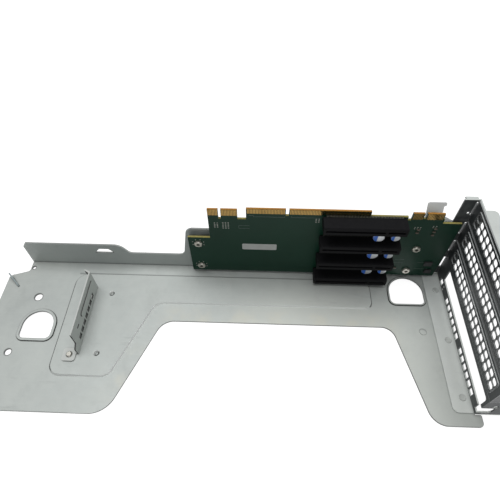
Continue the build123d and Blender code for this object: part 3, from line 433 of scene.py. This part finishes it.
def thin_blocks(name, boxes, finish):
    """One mesh of many small flat blocks, given by their corners in millimetres."""
    mesh = bmesh.new()
    for low, high in boxes:
        for vert in bmesh.ops.create_cube(mesh, size=1.0)["verts"]:
            for axis in range(3):
                middle, side = (low[axis] + high[axis]) / 2000, (high[axis] - low[axis]) / 1000
                vert.co[axis] = middle + vert.co[axis] * side
    return board_piece(name, mesh, finish)


# Each stroke of the print is given by its left, lower, right and upper sides.
INK_DEPTH, INK_DARK, INK_PALE = 0.03, (0.10, 0.14, 0.12), (0.24, 0.28, 0.26)
STROKES = (
    (-50.6, 71.0, -47.4, 71.25), (-47.4, 70.0, -47.15, 71.25), (-47.4, 70.0, -26.0, 70.25),
    (-26.0, 70.0, -25.75, 71.2), (-21.5, 70.0, -21.25, 71.2), (-21.5, 70.0, -2.0, 70.25),
    (-57.5, 60.2, -50.0, 60.4), (-57.5, 57.2, -50.0, 57.4), (-57.7, 57.2, -57.5, 60.4),
    (60.5, 24.5, 67.5, 24.7), (60.5, 20.2, 67.5, 20.4), (78.5, 21.2, 88.5, 21.4), (78.5, 12.9, 88.5, 13.1))
ink = Finish("board_ink", 0.7, 0.0, 0.2)
ink.base(ink.clouds(600.0, 2.0), INK_DARK, INK_PALE)
strokes = [((left, -INK_DEPTH, low), (right, 0.0, high)) for left, low, right, high in STROKES]
thin_blocks("board_print", strokes, ink)

# Each group of pads is given by its middle, its columns and its rows. A ring of small pads goes
# round each of the two left screws.
PAD_DEPTH, PAD_SIDES, PAD_STEP_X, PAD_STEP_Z = 0.05, (0.45, 0.3), 1.9, 1.5
PAD_GROUPS = (
    (-73.6, 60.2, 2, 4), (-66.8, 60.0, 3, 5), (66.5, 62.0, 3, 2), (77.8, 63.6, 2, 2), (-3.2, 67.4, 2, 3))
TIN_DARK, TIN_PALE = (0.30, 0.30, 0.27), (0.50, 0.50, 0.46)
RING_PADS, RING_RADIUS, RING_SIDES = 8, 4.4, (0.36, 0.36)


def flat_pad(x, z, half_sides):
    """The corners of one bare pad, from its middle and half its sides."""
    wide, high = half_sides
    return (x - wide, -PAD_DEPTH, z - high), (x + wide, 0.0, z + high)


pads = []
for x, z, columns, rows in PAD_GROUPS:
    left, low = x - PAD_STEP_X * (columns - 1) / 2, z - PAD_STEP_Z * (rows - 1) / 2
    pads += [flat_pad(left + PAD_STEP_X * column, low + PAD_STEP_Z * row, PAD_SIDES)
             for column in range(columns) for row in range(rows)]
for x, z in screw_places[:2]:
    for step in range(RING_PADS):
        turn = math.tau * (step + 0.5) / RING_PADS
        pads.append(flat_pad(x * 1000 + RING_RADIUS * math.cos(turn),
                             z * 1000 + RING_RADIUS * math.sin(turn), RING_SIDES))
tinned = Finish("tinned_pads", 0.45, 0.4)
tinned.base(tinned.clouds(900.0), TIN_DARK, TIN_PALE)
thin_blocks("board_pads", pads, tinned)

LABEL_LEFT, LABEL_RIGHT, LABEL_LOW, LABEL_HIGH = -55.6, -30.0, 32.6, 39.4
LABEL_DEPTH, LABEL_CORNER, CORNER_STEPS, LABEL_SOFTENING = 0.12, 0.9, 6, 0.04
PAPER_DARK, PAPER_PALE = (0.44, 0.46, 0.44), (0.58, 0.60, 0.58)
paper = Finish("label_paper", 0.75, 0.0, 0.3)
paper.base(paper.clouds(220.0, 5.0), PAPER_DARK, PAPER_PALE)
paper.bump(paper.clouds(900.0, 3.0), 0.15, 0.0001)
label_mesh = bmesh.new()
outline = []
inner_left, inner_right = LABEL_LEFT + LABEL_CORNER, LABEL_RIGHT - LABEL_CORNER
inner_low, inner_high = LABEL_LOW + LABEL_CORNER, LABEL_HIGH - LABEL_CORNER
for quarter, (x, z) in enumerate(((inner_right, inner_high), (inner_left, inner_high),
                                  (inner_left, inner_low), (inner_right, inner_low))):
    for step in range(CORNER_STEPS + 1):
        turn = math.tau * (quarter + step / CORNER_STEPS) / 4
        side, height = x + LABEL_CORNER * math.cos(turn), z + LABEL_CORNER * math.sin(turn)
        outline.append(label_mesh.verts.new((side / 1000, 0.0, height / 1000)))
back_side = label_mesh.faces.new(outline)
raised = bmesh.ops.extrude_face_region(label_mesh, geom=[back_side])["geom"]
bmesh.ops.translate(label_mesh, vec=(0.0, -LABEL_DEPTH / 1000, 0.0),
                    verts=[made for made in raised if isinstance(made, bmesh.types.BMVert)])
bmesh.ops.recalc_face_normals(label_mesh, faces=label_mesh.faces)
label = board_piece("board_label", label_mesh, paper)
soften = label.modifiers.new("corners", "BEVEL")
soften.width, soften.segments = LABEL_SOFTENING / 1000, 2


# Each slot housing is soldered by two rows of formed tin-plated leads that leave it at its upper
# and lower sides and reach back to the board.
LEAD_PITCH, LEAD_WIDTH, LEAD_REACH = 1.0, 0.42, 1.9
FIRST_LEAD, LEADS_LEFT_OUT, LEAD_IN, LEAD_OUT = 2.5, 4, 0.05, 0.45
LEAD_DARK, LEAD_PALE = (0.06, 0.06, 0.055), (0.15, 0.15, 0.13)
leads = []
for number in range(1, 5):
    low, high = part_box(f"slot_housing_{number}")
    left, right, under, over = low[0] * 1000, high[0] * 1000, low[2] * 1000, high[2] * 1000
    for place in range(int(right - left) - LEADS_LEFT_OUT):
        x = left + FIRST_LEAD + LEAD_PITCH * place
        for bottom, top in ((over - LEAD_IN, over + LEAD_OUT), (under - LEAD_OUT, under + LEAD_IN)):
            leads.append(((x - LEAD_WIDTH / 2, -LEAD_REACH, bottom), (x + LEAD_WIDTH / 2, 0.0, top)))
dull_tin = Finish("dull_tin", 0.5, 0.8)
dull_tin.base(dull_tin.clouds(900.0), LEAD_DARK, LEAD_PALE)
thin_blocks("slot_leads", leads, dull_tin)


# The edge contacts are copper pads plated with hard gold, one row on each face of each tongue,
# and the spring contacts in the slots are formed bronze strip with the same plating.
GOLD_DARK, GOLD_PALE = (0.23, 0.135, 0.038), (0.42, 0.27, 0.088)
gold = Finish("contact_gold", 0.2, 0.95)
tarnish = gold.clouds(160.0, 3.0)
gold.base(tarnish, GOLD_DARK, GOLD_PALE)
gold.feed(Roughness=0.06 + tarnish * 0.14)
gold.bump(tarnish, 0.05, 0.0001)
gold.dress("edge_contacts_left", "edge_contacts_main", "edge_contacts_right",
           "slot_contacts_1", "slot_contacts_2", "slot_contacts_3", "slot_contacts_4")


# The slot housings are moulded in glass-filled, near-black thermoplastic with a dull, faintly
# mottled skin.
HOUSING_DARK, HOUSING_PALE = (0.006, 0.006, 0.007), (0.013, 0.013, 0.014)
housing = Finish("housing_moulding", 0.5, 0.0, 0.06)
moulded_skin = housing.clouds(300.0, 4.0)
housing.base(moulded_skin, HOUSING_DARK, HOUSING_PALE)
housing.feed(Roughness=0.50 + moulded_skin * 0.16)
housing.bump(moulded_skin, 0.18, 0.0001)
housing.dress("slot_housing_1", "slot_housing_2", "slot_housing_3", "slot_housing_4")


# Six surface-mount capacitors stand between the slots: satin aluminium cans, each with a blue
# segment that marks its negative side, on black moulded bases. The chips have the same black
# moulding, and the small chip capacitors are brown ceramic.
CAN_METAL, CAN_DARK, CAN_PALE, CAN_BLUE = 0.75, (0.60, 0.62, 0.66), (0.78, 0.80, 0.84), (0.03, 0.15, 0.62)
SEGMENTS, SEGMENT_EDGE = ((0.0350, 0.0388), (0.0470, 0.0504)), 0.0004
can_skin = Finish("can_sleeve", 0.35, CAN_METAL)
can_skin.base(can_skin.clouds(200.0), CAN_DARK, CAN_PALE)
can_x, end_face = can_skin.along("X"), can_skin.band(can_skin.facing("Y"), -0.5, -0.8)
marked = 0.0
for left, right in SEGMENTS:
    past_left = can_skin.band(can_x, left, left + SEGMENT_EDGE)
    marked = marked + past_left * can_skin.band(can_x, right, right - SEGMENT_EDGE)
marked = marked * end_face
can_skin.coat(marked, CAN_BLUE)
can_skin.feed(Metallic=CAN_METAL - marked * 0.6)
can_skin.dress("capacitor_cans")

BASE_DARK, BASE_PALE = (0.010, 0.010, 0.011), (0.025, 0.025, 0.026)
base_skin = Finish("base_moulding", 0.5)
base_skin.base(base_skin.clouds(300.0), BASE_DARK, BASE_PALE)
base_skin.dress("capacitor_bases", "board_chips")

CERAMIC_DARK, CERAMIC_PALE = (0.05, 0.04, 0.03), (0.12, 0.10, 0.075)
ceramic = Finish("chip_ceramic", 0.45)
ceramic.base(ceramic.clouds(500.0), CERAMIC_DARK, CERAMIC_PALE)
ceramic.dress("chip_capacitors")


# Floor, lights and camera: a pale floor under soft overhead light, seen from where the photograph
# was taken. The floor and the backdrop shine where they are seen, so that they look white and
# light the object little.
FLOOR_HALF, FLOOR_DROP, FLOOR_SHINE = 3.0, 0.0002, (0.86, 0.86, 0.86)
FLOOR_DARK, FLOOR_PALE = (0.34, 0.34, 0.34), (0.36, 0.36, 0.36)
floor_mesh = bpy.data.meshes.new("floor")
floor_mesh.from_pydata([(-FLOOR_HALF, -FLOOR_HALF, 0.0), (FLOOR_HALF, -FLOOR_HALF, 0.0),
                        (FLOOR_HALF, FLOOR_HALF, 0.0), (-FLOOR_HALF, FLOOR_HALF, 0.0)], [], [(0, 1, 2, 3)])
floor = bpy.data.objects.new("floor", floor_mesh)
floor.location.z = -FLOOR_DROP
bpy.context.scene.collection.objects.link(floor)
floor_skin = Finish("floor_paper", 0.9, 0.0, 0.1)
floor_skin.base(floor_skin.clouds(3.0), FLOOR_DARK, FLOOR_PALE)
seen = floor_skin.add("ShaderNodeLightPath", out="Is Camera Ray")
seen = seen + floor_skin.add("ShaderNodeLightPath", out="Is Glossy Ray") * (1.0 - seen)
floor_skin.feed(Emission_Color=floor_skin.blend(seen, (0.0, 0.0, 0.0), FLOOR_SHINE), Emission_Strength=1.0)
floor_mesh.materials.append(floor_skin.material)

WORLD_LIGHT, WORLD_SHOWN = 0.22, 1.0
world = bpy.data.worlds.new("studio")
bpy.context.scene.world = world
world.use_nodes = True
backdrop = world.node_tree.nodes["Background"]
studio = Shader(world.node_tree)
in_view = studio.add("ShaderNodeLightPath", out="Is Camera Ray")
studio.put(backdrop.inputs["Color"], (1.0, 1.0, 1.0))
studio.put(backdrop.inputs["Strength"], in_view * (WORLD_SHOWN - WORLD_LIGHT) + WORLD_LIGHT)


def soft_light(name, place, aim, width, height, watts):
    """A rectangular lamp at a place in metres, turned towards its aim."""
    lamp = bpy.data.lights.new(name, "AREA")
    lamp.shape = "RECTANGLE"
    lamp.size = width
    lamp.size_y = height
    lamp.energy = watts
    holder = bpy.data.objects.new(name, lamp)
    holder.location = place
    holder.rotation_euler = (Vector(aim) - Vector(place)).to_track_quat("-Z", "Y").to_euler()
    bpy.context.scene.collection.objects.link(holder)


soft_light("overhead", place=(-0.12, 0.12, 1.15), aim=(-0.05, -0.05, 0.0),
           width=1.2, height=0.9, watts=11.0)
soft_light("front_fill", place=(0.05, -0.95, 0.85), aim=(-0.05, -0.02, 0.03),
           width=0.8, height=0.5, watts=2.0)

YAW, PITCH, ROLL = -0.04430, 0.93101, -0.010145
CAMERA_PLACE = Vector((-0.04110, -0.19733, 0.29713))
FOCAL_PIXELS, PHOTO_WIDTH, SENSOR_WIDTH = 438.10, 500.0, 36.0
forward = Vector((math.sin(YAW) * math.cos(PITCH), math.cos(YAW) * math.cos(PITCH), -math.sin(PITCH)))
level = Vector((math.cos(YAW), -math.sin(YAW), 0.0))
upward = level.cross(forward)
right = math.cos(ROLL) * level + math.sin(ROLL) * upward
above = -math.sin(ROLL) * level + math.cos(ROLL) * upward
lens = bpy.data.cameras.new("camera")
lens.sensor_width = SENSOR_WIDTH
lens.lens = SENSOR_WIDTH * FOCAL_PIXELS / PHOTO_WIDTH
lens.clip_start = 0.01
camera = bpy.data.objects.new("camera", lens)
turned = Matrix((right, above, -forward)).transposed().to_4x4()
camera.matrix_world = Matrix.Translation(CAMERA_PLACE) @ turned
bpy.context.scene.collection.objects.link(camera)
bpy.context.scene.camera = camera
bpy.context.scene.view_settings.view_transform = "Standard"
